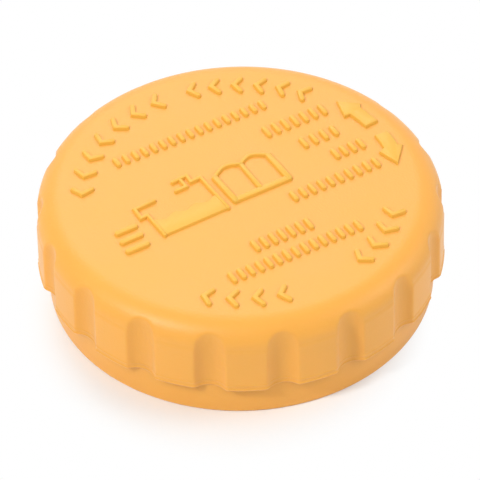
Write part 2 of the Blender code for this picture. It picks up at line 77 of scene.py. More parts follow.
# %% Place the camera
LENS = 262.5
VIEW_TILT = np.radians(43.46)
VIEW_ROLL = np.radians(1.342)
VIEW_TURN = np.radians(-0.726)
DISTANCE = 574.3 * MM
OFF_CENTRE = np.array((0.259, -5.434)) * MM
SENSOR_WIDTH = 36.0
CLIP_START = 10.0 * MM


def pose_matrix(x_axis, y_axis, z_axis, place):
    """The matrix that puts an object's own axes along these three directions at a place."""
    return Matrix(np.stack([x_axis, y_axis, z_axis, place], axis=1).tolist()).to_4x4()


def turned(x, y, angle):
    """x and y after a turn about the Z axis: both are mixed by the angle's cosine and sine."""
    cosine, sine = np.cos(angle), np.sin(angle)
    return x * cosine - y * sine, x * sine + y * cosine


def in_scene(name, data):
    """A new object with this data, linked to the scene."""
    made = bpy.data.objects.new(name, data)
    scene.collection.objects.link(made)
    return made


forward = np.array((0.0, np.cos(VIEW_TILT), -np.sin(VIEW_TILT)))
level = np.array((1.0, 0.0, 0.0))
steep = np.array((0.0, np.sin(VIEW_TILT), np.cos(VIEW_TILT)))
right = np.cos(VIEW_ROLL) * level - np.sin(VIEW_ROLL) * steep
up = np.sin(VIEW_ROLL) * level + np.cos(VIEW_ROLL) * steep
eye = -OFF_CENTRE[0] * right - OFF_CENTRE[1] * up - DISTANCE * forward
eye, right, up, forward = (
    np.array((*turned(x, y, VIEW_TURN), z)) for x, y, z in (eye, right, up, forward))

camera_data = bpy.data.cameras.new("photo_camera")
camera_data.lens = LENS
camera_data.sensor_width = SENSOR_WIDTH
camera_data.clip_start = CLIP_START
camera = in_scene("photo_camera", camera_data)
camera.matrix_world = pose_matrix(right, up, -forward, eye)
scene.camera = camera
print("camera at", np.round(eye * 1000), "mm")

# %% [markdown]
# ## Surfaces from arrays
#
# Almost every piece here is turned, moulded or wound, so its surface is a lattice: one
# parameter runs along a section and the other runs round the axis or along a path. The points
# are worked out as whole numpy arrays. A shape is kept as its points and a few blocks of faces,
# and it is turned inside out where its volume comes out negative, so that faces look outward.

# %% Lattices and their faces
def lattice(rows, columns, wrap_rows=False):
    """Quads between neighbouring rows and columns. The columns always close on themselves."""
    i = np.arange(rows if wrap_rows else rows - 1)[:, None]
    j = np.arange(columns)[None, :]
    after = (j + 1) % columns
    below = (i + 1) % rows
    corners = (i * columns + j, i * columns + after, below * columns + after, below * columns + j)
    return np.stack(np.broadcast_arrays(*corners), axis=-1)


def end_faces(rows, columns):
    """A face over the first row and one over the last, wound like the quads between them."""
    row = np.arange(columns)[None, :]
    return [row[:, ::-1], (rows - 1) * columns + row]


def outward(points, blocks):
    """Turn the faces outward: a closed volume is the sum of a . (b x c) / 6 over its triangles."""
    volume = 0.0
    for block in blocks:
        for k in range(1, block.shape[1] - 1):
            cross = np.cross(points[block[:, k]], points[block[:, k + 1]])
            volume += np.einsum("ij,ij->", points[block[:, 0]], cross) / 6.0
    return points, [block[:, ::-1] if volume < 0 else block for block in blocks]


def closed_stack(points):
    """Closed outlines, one over the other, with a face on the first and one on the last."""
    size = points.shape[:2]
    return outward(points.reshape(-1, 3), [lattice(*size).reshape(-1, 4), *end_faces(*size)])


def joined(*shapes):
    """Several shapes as one: the faces of each are counted on from the points before it."""
    starts = np.cumsum([0] + [len(points) for points, _ in shapes])
    blocks = [block + start for start, (_, own) in zip(starts, shapes) for block in own]
    return np.concatenate([points for points, _ in shapes]), blocks


print("quads in a lattice of 3 rows and 4 columns:", lattice(3, 4).size // 4)

# %% [markdown]
# Every piece is finished in the same way. Its mesh is in its place, while the object itself stays
# at the origin. It is smooth up to an angle, so that flat faces stay flat, and it rides on a body.

# %% Make a shape a piece
CREASE_ANGLE = np.radians(38.0)
finishes = {}     # the material of each slot, filled further down


def dress(name, shape, body, slot, nodes=(), finish=None):
    """Make the shape a smooth mesh that rides on its body, in its slot's finish or another."""
    points, blocks = shape
    faces = [face for block in blocks for face in block.tolist()]
    mesh = bpy.data.meshes.new(name)
    mesh.from_pydata(points.tolist(), [], faces)
    mesh.shade_smooth()
    mesh.set_sharp_from_angle(angle=CREASE_ANGLE)
    mesh.materials.append(finish or finishes[slot])
    piece = in_scene(name, mesh)
    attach(piece, body)
    if nodes:
        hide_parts(*nodes)
    triangles = sum(len(block) * (block.shape[1] - 2) for block in blocks)
    print(f"{name}: {len(points)} points, {triangles} triangles")
    return piece


print(f"edges past {np.degrees(CREASE_ANGLE):.0f} degrees stay sharp")

# %% [markdown]
# Machined and moulded edges are never quite sharp. `eased` takes the corners of a section, each
# with its own set-back, and swaps every corner for a short curve that leaves one side and meets
# the next one smoothly. A highlight then runs along the edge, as it does on the real piece.

# %% Ease the corners of a section
CORNER_STEPS = 5


def unit(vectors):
    """Each row divided by its own length."""
    return vectors / np.linalg.norm(vectors, axis=1, keepdims=True)


def eased(corners):
    """Closed section with soft corners, from rows of (radius, height, set-back) in millimetres.

    Each corner C becomes the curve (1-t)^2 A + 2t(1-t) C + t^2 B, where A and B lie on its two
    sides at the set-back from C.
    """
    corners = np.array(corners, float)
    place = corners[:, :2] * MM
    reach = corners[:, 2:] * MM
    before = np.roll(place, 1, axis=0) - place
    after = np.roll(place, -1, axis=0) - place
    start = place + unit(before) * reach
    end = place + unit(after) * reach
    t = np.linspace(0.0, 1.0, CORNER_STEPS)[None, :, None]
    curve = (1 - t) ** 2 * start[:, None] + 2 * t * (1 - t) * place[:, None] + t**2 * end[:, None]
    return curve.reshape(-1, 2)


print("points in an eased triangle:", len(eased([(0, 0, 0.1), (1, 0, 0.1), (0, 1, 0.1)])))

# %% [markdown]
# A section becomes a ring, a thread or a spring when it is carried round the axis. A lattice that
# reaches the axis is closed there by a fan of triangles. Slots and windows are gaps in a ring,
# found by the angles between its columns.

# %% Carry a section round the axis
def round_axis(reach, angle, level_z):
    """Points at a distance from the axis, an angle round it and a height."""
    return np.stack(
        np.broadcast_arrays(reach * np.cos(angle), reach * np.sin(angle), level_z), axis=-1)


def carried(section, angle, radius=0.0, height=0.0, swell=1.0, closed=False):
    """Carry a section along a path round the axis.

    A section point (r, z) lands at distance radius + swell * r from the axis and at
    height + swell * z, at each angle of the path. An open path gets a face on each end.
    """
    angle = angle[:, None]
    radius, height, swell = (
        np.broadcast_to(value, angle.shape[:1])[:, None] for value in (radius, height, swell))
    reach = radius + swell * section[None, :, 0]
    points = round_axis(reach, angle, height + swell * section[None, :, 1])
    rows, columns = reach.shape
    blocks = [lattice(rows, columns, wrap_rows=closed).reshape(-1, 4)]
    if not closed:
        blocks += end_faces(rows, columns)
    return outward(points.reshape(-1, 3), blocks)


def full_turn(columns):
    """Evenly spaced angles once round, without the last one, which would repeat the first."""
    return np.arange(columns) * TURN / columns


def poled(points, first_z, last_z, keep=None, extra=()):
    """Close a lattice of rings with a point on the axis at each end; drop the quads not kept."""
    rows, columns = points.shape[:2]
    quads = lattice(rows, columns)
    if keep is not None:
        quads = quads[keep]
    j = np.arange(columns)
    after = (j + 1) % columns
    last = (rows - 1) * columns
    first_pole = np.full(columns, rows * columns)
    first_fan = np.stack([after, j, first_pole], axis=-1)
    last_fan = np.stack([last + j, last + after, first_pole + 1], axis=-1)
    poles = np.array([(0.0, 0.0, first_z), (0.0, 0.0, last_z)])
    every = np.concatenate([points.reshape(-1, 3), poles])
    return outward(every, [quads.reshape(-1, 4), first_fan, last_fan, *extra])


def gaps(angle, centres, half):
    """Which steps of a closed ring of angles lie in a gap, and where each gap starts and ends."""
    middle = angle + 0.5 * ((np.roll(angle, -1) - angle) % TURN)
    inside = np.abs((middle[:, None] - centres + np.pi) % TURN - np.pi).min(axis=1) < half
    before = np.roll(inside, 1)
    return inside, np.flatnonzero(inside & ~before), np.flatnonzero(~inside & before)


print("a ring of 8 columns has one every", np.degrees(full_turn(8)[1]), "degrees")

# %% [markdown]
# ## Finishes
#
# Plastic, rubber and metal all carry a fine grain that the eye reads as the material before it
# reads the colour. One node group makes that grain for every finish, from noise in the piece's
# own coordinates: a coarse cloud that shifts tone and gloss a little, and a fine texture that
# tilts the surface. Each material sets its own grain size and depth.

# %% Node group: fine grain
CLOUD_SCALE = 90.0
BUMP_DISTANCE = 0.05 * MM


def set_inputs(node, values):
    """Set constants on a node's own sockets, by name."""
    for socket, value in values.items():
        node.inputs[socket].default_value = value


def feed(links, socket, value):
    """Link a socket to another one, or set a plain value on it."""
    if isinstance(value, bpy.types.NodeSocket):
        links.new(value, socket)
    else:
        socket.default_value = value


def math_node(nodes, links, operation, *values):
    """A Math node fed by sockets or plain numbers."""
    node = nodes.new("ShaderNodeMath")
    node.operation = operation
    for socket, value in zip(node.inputs, values):
        feed(links, socket, value)
    return node.outputs[0]


def multiplied(nodes, links, colour, factor):
    """A colour, plain or from a socket, times the factor of another socket."""
    node = nodes.new("ShaderNodeMix")
    node.data_type = "RGBA"
    node.blend_type = "MULTIPLY"
    node.inputs["Factor"].default_value = 1.0
    feed(links, node.inputs["A"], colour)
    links.new(factor, node.inputs["B"])
    return node.outputs["Result"]


def make_grain_group():
    """Tone = 1 + cloud * Tone Shift, gloss = Roughness + cloud * Gloss Shift, and a fine bump."""
    group = bpy.data.node_groups.new("fine_grain", "ShaderNodeTree")
    for way, kind, sockets in (
        ("INPUT", "Float", ("Grain Size", "Grain Depth", "Tone Shift", "Roughness", "Gloss Shift")),
        ("OUTPUT", "Float", ("Tone", "Gloss")), ("OUTPUT", "Vector", ("Normal",)),
    ):
        for socket in sockets:
            group.interface.new_socket(socket, in_out=way, socket_type=f"NodeSocket{kind}")
    nodes, links = group.nodes, group.links
    entry, leave = nodes.new("NodeGroupInput"), nodes.new("NodeGroupOutput")
    place = nodes.new("ShaderNodeTexCoord").outputs["Object"]
    cloud = nodes.new("ShaderNodeTexNoise")
    set_inputs(cloud, {"Scale": CLOUD_SCALE, "Detail": 4.0})
    links.new(place, cloud.inputs["Vector"])
    drift = math_node(nodes, links, "SUBTRACT", cloud.outputs["Fac"], 0.5)
    tone = math_node(nodes, links, "MULTIPLY_ADD", drift, entry.outputs["Tone Shift"], 1.0)
    gloss = math_node(
        nodes, links, "MULTIPLY_ADD", drift, entry.outputs["Gloss Shift"],
        entry.outputs["Roughness"])
    grain = nodes.new("ShaderNodeTexNoise")
    grain.inputs["Detail"].default_value = 2.0
    links.new(place, grain.inputs["Vector"])
    links.new(entry.outputs["Grain Size"], grain.inputs["Scale"])
    bump = nodes.new("ShaderNodeBump")
    bump.inputs["Distance"].default_value = BUMP_DISTANCE
    links.new(entry.outputs["Grain Depth"], bump.inputs["Strength"])
    links.new(grain.outputs["Fac"], bump.inputs["Height"])
    links.new(tone, leave.inputs["Tone"])
    links.new(gloss, leave.inputs["Gloss"])
    links.new(bump.outputs["Normal"], leave.inputs["Normal"])
    return group


grain_group = make_grain_group()
print("node group", grain_group.name)

# %% Material with grain
SLOT_COLOURS = {m["slot"]: m["base_color"] for m in frame["record"]["materials"]}
CAP_YELLOW = (0.88, 0.40, 0.055)
# painted light: the signs are the cap's own plastic, and this lighter, yellower copy of its yellow
# stands for the light on the raised signs
SIGN_LIT_YELLOW = (0.84, 0.455, 0.055)


def principled(material):
    """The material's own shader."""
    return material.node_tree.nodes["Principled BSDF"]


def make_finish(name, roughness, grain_size, grain_depth, tone_shift=0.06, gloss_shift=0.12,
                metallic=0.0, colour=None):
    """A Principled material in its slot's colour, with the grain on tone, gloss and surface."""
    material = bpy.data.materials.new(name)
    material.use_nodes = True
    nodes, links = material.node_tree.nodes, material.node_tree.links
    shader = principled(material)
    colour = (*(colour or SLOT_COLOURS[name]), 1.0)
    material.diffuse_color = colour
    shader.inputs["Metallic"].default_value = metallic
    grain = nodes.new("ShaderNodeGroup")
    grain.node_tree = grain_group
    set_inputs(grain, {
        "Grain Size": grain_size, "Grain Depth": grain_depth, "Tone Shift": tone_shift,
        "Roughness": roughness, "Gloss Shift": gloss_shift,
    })
    tinted = multiplied(nodes, links, colour, grain.outputs["Tone"])
    links.new(tinted, shader.inputs["Base Color"])
    links.new(grain.outputs["Gloss"], shader.inputs["Roughness"])
    links.new(grain.outputs["Normal"], shader.inputs["Normal"])
    finishes[name] = material
    return material


def paint_hollow_shade(material, reach, depth):
    """Painted shade: the base colour is darker where near surfaces shut out the light, tone = 1 -
    depth * (1 - openness).
    """
    nodes, links = material.node_tree.nodes, material.node_tree.links
    base = principled(material).inputs["Base Color"]
    openness = nodes.new("ShaderNodeAmbientOcclusion")
    openness.only_local = True
    openness.inputs["Distance"].default_value = reach
    tone = nodes.new("ShaderNodeMapRange")
    links.new(openness.outputs["AO"], tone.inputs["Value"])
    tone.inputs["To Min"].default_value = 1.0 - depth
    links.new(multiplied(nodes, links, base.links[0].from_socket, tone.outputs["Result"]), base)


print(len(SLOT_COLOURS), "slots in the record")

# %% [markdown]
# The cap's yellow plastic lets a little light in, so its shadows stay warm and its edges glow.
# That is what the subsurface values do; they are kept short, because the wall is thick. A faint
# sheen pales the sides that are seen edge on, and painted shade darkens the base colour of the
# flutes and other hollows, so that they are a shade darker than the ridges.

# %% Six finishes, and a lighter copy of the yellow, painted light, for the signs
yellow_plastic = make_finish(
    "yellow_plastic", 0.45, 2400.0, 0.7, tone_shift=0.09, colour=CAP_YELLOW)
# painted light: a lighter, yellower copy of the yellow plastic for the raised signs
lit_sign_plastic = make_finish(
    "yellow_plastic_signs", 0.5, 2400.0, 0.3, tone_shift=0.05, colour=SIGN_LIT_YELLOW)
for plastic in (yellow_plastic, lit_sign_plastic):
    set_inputs(principled(plastic), {
        "Subsurface Weight": 0.1, "Subsurface Radius": (1.0, 0.45, 0.15),
        "Subsurface Scale": 0.8 * MM, "Sheen Weight": 0.2, "Sheen Roughness": 0.4,
    })
# painted shade: the yellow's base colour is darkened in the flutes and other hollows
paint_hollow_shade(yellow_plastic, reach=3.0 * MM, depth=0.85)

make_finish("black_plastic", 0.42, 3200.0, 0.35, tone_shift=0.5, gloss_shift=0.2)
natural_plastic = make_finish("natural_plastic", 0.38, 2400.0, 0.15)
set_inputs(principled(natural_plastic), {"Subsurface Weight": 0.2, "Subsurface Scale": 1.0 * MM})
make_finish("black_rubber", 0.62, 1800.0, 0.4, tone_shift=0.6, gloss_shift=0.3)
make_finish("spring_steel", 0.26, 5200.0, 0.3, tone_shift=0.12, metallic=1.0)
make_finish("brass", 0.3, 4200.0, 0.3, tone_shift=0.15, metallic=1.0)
print("finishes:", ", ".join(finishes))

# %% [markdown]
# ## The grip's plan
#
# Seen from above, the grip is a circle with eighteen round flutes cut into it, and a small
# rounded lip where each flute meets the circle. The plan is a radius for every angle: inside a
# flute the ray meets the flute's circle on its near side, on a lip it meets the lip's small
# circle on its far side, and between lips it meets the grip's own circle. The lip's circle
# touches both of the others, which fixes its centre.

# %% Radius of the plan at any angle
FLUTE_COUNT = 18
FLUTE_RADIUS = 3.4 * MM
FLUTE_FLOOR = 31.8 * MM
LIP_RADIUS = 0.8 * MM
PITCH = TURN / FLUTE_COUNT
flute_centre = FLUTE_FLOOR + FLUTE_RADIUS
lip_centre = GRIP_RADIUS - LIP_RADIUS
lip_reach = FLUTE_RADIUS + LIP_RADIUS
lip_angle = np.arccos(
    (lip_centre**2 + flute_centre**2 - lip_reach**2) / (2 * lip_centre * flute_centre))
touch = np.arctan2(lip_centre * np.sin(lip_angle), flute_centre - lip_centre * np.cos(lip_angle))
flute_edge = np.arctan2(FLUTE_RADIUS * np.sin(touch), flute_centre - FLUTE_RADIUS * np.cos(touch))


def plan_radius(angle):
    """Distance of the fluted plan from the axis, by where the ray at this angle meets a circle."""
    local = np.abs((angle + np.pi / 2) % PITCH - PITCH / 2)
    inside = np.clip(FLUTE_RADIUS**2 - (flute_centre * np.sin(local)) ** 2, 0.0, None)
    flute = flute_centre * np.cos(local) - np.sqrt(inside)
    away = local - lip_angle
    outside = np.clip(LIP_RADIUS**2 - (lip_centre * np.sin(away)) ** 2, 0.0, None)
    lip = lip_centre * np.cos(away) + np.sqrt(outside)
    return np.where(local < flute_edge, flute, np.where(local < lip_angle, lip, GRIP_RADIUS))


def plan_angles():
    """Angles of the columns: one pitch, sampled by flute, lips and ridge, is repeated."""
    half = np.concatenate([
        np.linspace(0.0, flute_edge, 7)[:-1],
        np.linspace(flute_edge, lip_angle, 7)[:-1],
        np.linspace(lip_angle, PITCH / 2, 5),
    ])
    pitch = np.concatenate([-half[:0:-1], half[:-1]])
    starts = -np.pi / 2 + PITCH / 2 + np.arange(FLUTE_COUNT) * PITCH
    return (starts[:, None] + pitch[None, :]).ravel()


print(f"lip at {np.degrees(lip_angle):.2f} degrees, flute edge at {np.degrees(flute_edge):.2f}")

# %% [markdown]
# ## The shell
#
# Crown, shoulder, grip, lower band, bore and snap collar are one injection moulding, so they are
# one lattice. Its rows follow the section from the middle of the crown, over the shoulder, down
# the grip, round the rim, up the bore and round the collar to the middle of the underside. The
# shoulder and the flutes meet in a soft crease: the surface takes the nearer of the two, and
# the difference is rounded off.

# %% Section of the shell
STEP_HEIGHT = 6.15 * MM
SHOULDER_WIDTH = 4.5 * MM
SHOULDER_DROP = 3.9 * MM
GRIP_DRAFT = 0.2 * MM
DRAFT_REACH = 13.6 * MM
CREASE_WIDTH = 0.25 * MM
LIP_STANDOUT = 0.13 * MM
LIPS = [(0.34, 0.12, 1.0), (1.18, 0.09, 0.45)]     # millimetres above the step, width, share
FOOT_DEPTH = 0.12 * MM
FOOT_HEIGHT = 0.14
BAND_TOP = 31.6
RIM = 31.45
BORE = 28.8
BORE_CORNER = 1.2
BORE_TOP = 14.95
UNDERSIDE = 16.15
COLLAR_OUTER = 26.2
COLLAR_INNER = 24.7
HOOK_INNER = 23.5
HOOK_MIDDLE = 25.4
HOOK_TOP = 12.95
HOOK_BOTTOM = 11.65
shoulder_foot = CAP_HEIGHT - SHOULDER_DROP
crown_edge = GRIP_RADIUS - GRIP_DRAFT - SHOULDER_WIDTH


def soft_min(a, b, width):
    """The lower of a and b, less width * h^2 / 4; h falls from 1 to 0 as they part by width."""
    h = np.clip(1.0 - np.abs(a - b) / width, 0.0, None)
    return np.minimum(a, b) - width * h * h / 4.0


def grip_rows():
    """Envelope radius, height and standout of each row from the crown to the foot of the grip."""
    crown = np.array([(r, CAP_HEIGHT / MM) for r in (5, 10, 15, 19, 22, 24.5, 26.5, 27.7)]) * MM
    sweep = np.radians(np.linspace(90.0, 0.0, 30))
    shoulder = np.stack([
        crown_edge + SHOULDER_WIDTH * np.cos(sweep),
        shoulder_foot + SHOULDER_DROP * np.sin(sweep)], axis=-1)
    drop = np.array([
        0.3, 0.8, 1.6, 2.6, 3.6, 4.6, 5.6, 6.4, 7.0, 7.3, 7.42, 7.52, 7.62, 7.75, 8.0, 8.12, 8.2,
        8.28, 8.36, 8.44, 8.52, 8.6, 8.66, 8.7]) * MM
    wall = np.stack([crown_edge + SHOULDER_WIDTH + drop, shoulder_foot - drop], axis=-1)
    rows = np.concatenate([crown, shoulder, wall])
    above = (rows[:, 1] - STEP_HEIGHT) / MM
    lip = sum(share * np.exp(-(((above - place) / width) ** 2)) for place, width, share in LIPS)
    foot = FOOT_DEPTH * np.clip(1.0 - above / FOOT_HEIGHT, 0.0, 1.0) ** 2
    return rows[:, 0], rows[:, 1], LIP_STANDOUT * lip - foot


def inner_rows():
    """Plain rows from the ledge under the grip to the middle of the underside, in millimetres."""
    band = [(31.72, 6.14), (31.62, 6.1), (BAND_TOP, 5.98), (31.58, 5.2), (31.55, 4.0), (31.51, 2.4)]
    rim = [(31.47, 1.0), (RIM, 0.42), (31.41, 0.24), (31.33, 0.11), (31.21, 0.03), (31.05, 0.0)]
    mouth = [(30.2, 0.0), (29.5, 0.0), (29.41, 0.02), (29.36, 0.06), (28.85, 0.53), (BORE, 0.62)]
    bore = [(BORE, 0.9), (BORE, 4.0), (BORE, 8.0), (BORE, 12.0), (BORE, BORE_TOP)]
    turn = np.linspace(0.0, np.pi / 2, 7)[1:]
    corner = np.stack(
        [BORE + BORE_CORNER * (np.cos(turn) - 1.0), BORE_TOP + BORE_CORNER * np.sin(turn)], axis=-1)
    return np.array([*band, *rim, *mouth, *bore, *corner, (26.6, UNDERSIDE)])


def collar_rows():
    """Section of the collar: down its outside, round the hook and up its inside."""
    return np.array([
        (26.4, UNDERSIDE), (26.27, 16.12), (26.21, 16.02), (COLLAR_OUTER, 15.85),
        (COLLAR_OUTER, 13.8), (COLLAR_OUTER, 11.95), (26.15, 11.78), (26.05, 11.68),
        (25.9, HOOK_BOTTOM), (24.35, HOOK_BOTTOM), (24.23, 11.67), (24.13, 11.73),
        (23.57, 12.27), (23.52, 12.34), (HOOK_INNER, 12.45), (HOOK_INNER, 12.83),
        (23.53, 12.91), (23.62, HOOK_TOP), (24.55, HOOK_TOP), (24.66, 12.98),
        (COLLAR_INNER, 13.1), (COLLAR_INNER, 15.85), (24.69, 16.02), (24.63, 16.12),
        (24.5, UNDERSIDE),
    ])


print(len(grip_rows()[0]), "rows outside,", len(inner_rows()) + len(collar_rows()), "inside")

# %% [markdown]
# The collar is eight hooks with slots between them, so that they can spring outward when the
# valve is pushed in. In the columns of a slot the collar's quads are left out, the underside
# runs straight across, and the end of each hook is closed with one face in the collar's outline.

# %% Make the shell
HOOK_COUNT = 8
SLOT_WIDTH = 4.0 * MM


def make_shell():
    """Rows times columns: radius = soft minimum of envelope and plan outside, plain inside."""
    slot_half = np.arcsin(SLOT_WIDTH / 2 / (HOOK_MIDDLE * MM))
    slot_middle = (np.arange(HOOK_COUNT) + 0.5) * TURN / HOOK_COUNT - TURN / 2
    edges = np.concatenate([slot_middle - slot_half, slot_middle + slot_half])
    angle = np.concatenate([plan_angles(), edges])
    angle = np.unique(np.round((angle + TURN / 2) % TURN, 7)) - TURN / 2
    envelope, height, standout = grip_rows()
    draft = 1.0 - GRIP_DRAFT * (height - STEP_HEIGHT) / DRAFT_REACH / GRIP_RADIUS
    plan = plan_radius(angle)[None, :] * draft[:, None] + standout[:, None]
    outside = soft_min(envelope[:, None], plan, CREASE_WIDTH)
    under_crown = [(20.0, UNDERSIDE), (10.0, UNDERSIDE)]
    plain = np.concatenate([inner_rows(), collar_rows(), under_crown]) * MM
    reach = np.concatenate([outside, np.broadcast_to(plain[:, :1], (len(plain), len(angle)))])
    points = round_axis(reach, angle, np.concatenate([height, plain[:, 1]])[:, None])
    rows, columns = reach.shape
    first = len(height) + len(inner_rows())
    last = first + len(collar_rows()) - 1
    in_slot, opens, closes = gaps(angle, slot_middle, slot_half)
    keep = np.ones((rows - 1, columns), bool)
    keep[first:last, in_slot] = False
    j = np.flatnonzero(in_slot)
    after = (j + 1) % columns
    low, high = first * columns, last * columns
    across = np.stack([low + j, low + after, high + after, high + j], axis=-1)
    section = np.arange(first, last + 1) * columns
    ends, starts = section[::-1] + opens[:, None], section + closes[:, None]
    return poled(points, CAP_HEIGHT, UNDERSIDE * MM, keep, [across, ends, starts])


dress("grip_cap", make_shell(), "cap_body", "yellow_plastic", ["cap_shell"])

# %% [markdown]
# ## The neck thread
#
# The tank's neck screws into the bore. The thread is one coarse right-handed ridge, a section
# with sloping flanks carried up a helix. It fades in and out at its ends, as a moulded thread
# does where the core's groove runs out.

# %% Wind the thread into the bore
THREAD_PITCH = 4.0 * MM
THREAD_TURNS = 2.2
THREAD_START = 2.2 * MM
RUN_OUT = np.radians(28.0)


def make_thread():
    """Ridge on a right-handed helix: height = start + pitch * turns, swell fades at both ends."""
    section = eased(
        [(0.25, -1.15, 0.05), (0.25, 1.15, 0.05), (-0.05, 1.1, 0.1), (-1.2, 0.45, 0.16),
         (-1.2, -0.45, 0.16), (-0.05, -1.1, 0.1)])
    angle = np.linspace(0.0, THREAD_TURNS * TURN, round(THREAD_TURNS * 150))
    from_end = np.minimum(angle, angle[-1] - angle)
    fade = np.clip(from_end / RUN_OUT, 0.02, 1.0)
    swell = np.sqrt(fade * (2.0 - fade))
    return carried(section, angle, BORE * MM, THREAD_START + THREAD_PITCH * angle / TURN, swell)


dress("neck_thread", make_thread(), "cap_body", "yellow_plastic")

# %% [markdown]
# ## Raised signs on the crown
#
# The crown carries moulded signs in low relief: two curved arrows that show how the cap turns,
# a tank with its level, an open book, and plain studs and chevrons that fill the rows and the two
# arcs. Each sign is an outline in the plane, raised with slightly drafted sides and an eased
# edge, and sunk a hair into the crown so that no gap shows under it.

# %% Raise an outline from the crown
SIGN_HEIGHT = 0.5 * MM
SIGN_SINK = 0.08 * MM
SIGN_DRAFT = 0.12 * MM
STROKE = 0.8
MITRE_LIMIT = 0.35


def spread(outline, reach):
    """Move each point of a closed outline outward by reach, square to both of its sides."""
    after = unit(np.roll(outline, -1, axis=0) - outline)
    bisector = unit(outline - np.roll(outline, 1, axis=0)) + after
    normal = np.stack([bisector[:, 1], -bisector[:, 0]], axis=-1)
    across = np.einsum("ij,ij->i", normal, np.stack([after[:, 1], -after[:, 0]], axis=-1))
    normal /= np.clip(across, MITRE_LIMIT, None)[:, None]
    x, y = outline.T
    area = np.sum(x * np.roll(y, -1) - y * np.roll(x, -1))
    return outline + np.sign(area) * reach * normal


def raised(outline, height=SIGN_HEIGHT):
    """Stack the outline in six rings from inside the crown to the flat top; close both ends."""
    outline = np.asarray(outline, float) * MM
    levels = np.array([
        (SIGN_DRAFT, -SIGN_SINK), (SIGN_DRAFT, 0.0), (0.35 * SIGN_DRAFT, 0.3 * height),
        (0.0, 0.72 * height), (-0.03 * MM, 0.9 * height), (-0.1 * MM, height),
    ])
    return closed_stack(np.stack([
        np.column_stack([spread(outline, reach), np.full(len(outline), CAP_HEIGHT + lift)])
        for reach, lift in levels
    ]))


def stroke(path, width=STROKE):
    """Outline of a line drawn with a round nib: the path moved to both sides, with round ends."""
    path = np.asarray(path, float)
    ahead = unit(np.diff(path, axis=0))
    tangent = unit(np.concatenate([ahead[:1], ahead[:-1] + ahead[1:], ahead[-1:]]))
    side = np.stack([-tangent[:, 1], tangent[:, 0]], axis=-1)
    turn = np.concatenate([ahead[:1], ahead])
    cosine = np.clip(np.einsum("ij,ij->i", tangent, turn), 0.5, None)[:, None]
    offset = side * width / 2 / cosine
    sweep = np.linspace(-np.pi / 2, np.pi / 2, 7)[1:-1]
    caps = [
        end + width / 2 * (np.cos(sweep)[:, None] * out + np.sin(sweep)[:, None] * across)
        for end, out, across in ((path[-1], ahead[-1], side[-1]), (path[0], -ahead[0], -side[0]))
    ]
    return np.concatenate([path - offset, caps[0], (path + offset)[::-1], caps[1]])


print("outline of a stud:", len(stroke([(0.0, 0.0), (0.0, 2.0)])), "points")

# %% [markdown]
# The signs are drawn in a frame of their own, turned 28.5 degrees against the cap. A row is set
# out by its left end, its length, its height and its number of studs. On the arcs each chevron
# is drawn at its own angle, with its point along the arc.

# %% Studs, chevrons, arrows
SIGN_TURN = np.radians(28.5)
ROWS = [
    (-14.3, 14.5, 28.0, 2.2, 17), (10.2, 8.1, 11.4, 2.7, 7), (14.0, 2.7, 6.5, 2.6, 4),
    (17.0, -2.2, 5.6, 2.5, 4), (6.1, -7.3, 16.2, 2.4, 10), (-5.0, -14.2, 10.6, 2.7, 7),
    (-11.7, -18.5, 23.8, 2.5, 15),
]
BARS = [
    ((-19.6, -9.7), (-16.9, -8.2)), ((-18.8, -11.8), (-16.0, -10.2)),
    ((-17.9, -13.9), (-15.0, -12.3)),
]
BAR_STROKE = 1.0
FAR_ARCS = [(179.3, 121.2, 7), (106.3, 63.9, 6)]
NEAR_ARCS = [(-103.1, -75.9, 4), (-42.0, -15.7, 4)]
ARC_INNER = 23.75
ARC_OUTER = 26.75
CHEVRON_LEAD = 2.6
SHAFT = (25.1, 27.5)
HEAD = (24.05, 26.1, 28.2)
BARB_SWEEP = 0.4


def to_cap(points):
    """Points of the signs' own frame, turned onto the crown."""
    return np.stack(turned(*np.asarray(points, float).T, SIGN_TURN), axis=-1)


def drawn(path, width=STROKE, share=1.0):
    """A stroke in the signs' frame, raised to a share of their height."""
    return raised(to_cap(stroke(path, width)), share * SIGN_HEIGHT)


def on_arc(radius, degrees):
    """Points on the crown from radius in millimetres and angle in degrees."""
    radius, angle = np.broadcast_arrays(radius, np.radians(degrees))
    return np.stack([radius * np.cos(angle), radius * np.sin(angle)], axis=-1)


def make_studs():
    """Upright studs, evenly spaced along each row, and three short bars beside the tank."""
    inset = STROKE / 2
    studs = [
        drawn([(x, base + inset), (x, base + tall - inset)])
        for start, base, length, tall, count in ROWS
        for x in np.linspace(start + inset, start + length - inset, count)]
    return joined(*studs, *[raised(stroke(bar, BAR_STROKE)) for bar in BARS])


def make_chevrons():
    """Two strokes to a point that leads along the arc: anticlockwise far off, clockwise nearby."""
    radii = np.array((ARC_INNER, (ARC_INNER + ARC_OUTER) / 2, ARC_OUTER))
    point = np.array((-0.5, 0.5, -0.5)) * CHEVRON_LEAD
    return joined(*[
        raised(stroke(on_arc(radii, middle + way * point)))
        for arcs, way in ((FAR_ARCS, 1), (NEAR_ARCS, -1))
        for start, end, count in arcs
        for middle in np.linspace(start, end, count)])


def curved_arrow(tail, neck, tip):
    """Outline of an arrow along the arc: shaft between two radii, barbs past them and the tip."""
    shaft = np.linspace(tail, neck, 9)
    barb = neck + 0.12 * (tip - neck)
    return np.concatenate([
        on_arc(SHAFT[0], shaft),
        on_arc(np.array(HEAD), np.array((barb - BARB_SWEEP, tip, barb + BARB_SWEEP))),
        on_arc(SHAFT[1], shaft[::-1]),
    ])


signs = [
    make_studs(), make_chevrons(),
    raised(curved_arrow(33.2, 42.2, 50.6)), raised(curved_arrow(27.0, 19.4, 10.3)),
]
print(len(signs[0][0]) + len(signs[1][0]), "points in studs and chevrons")

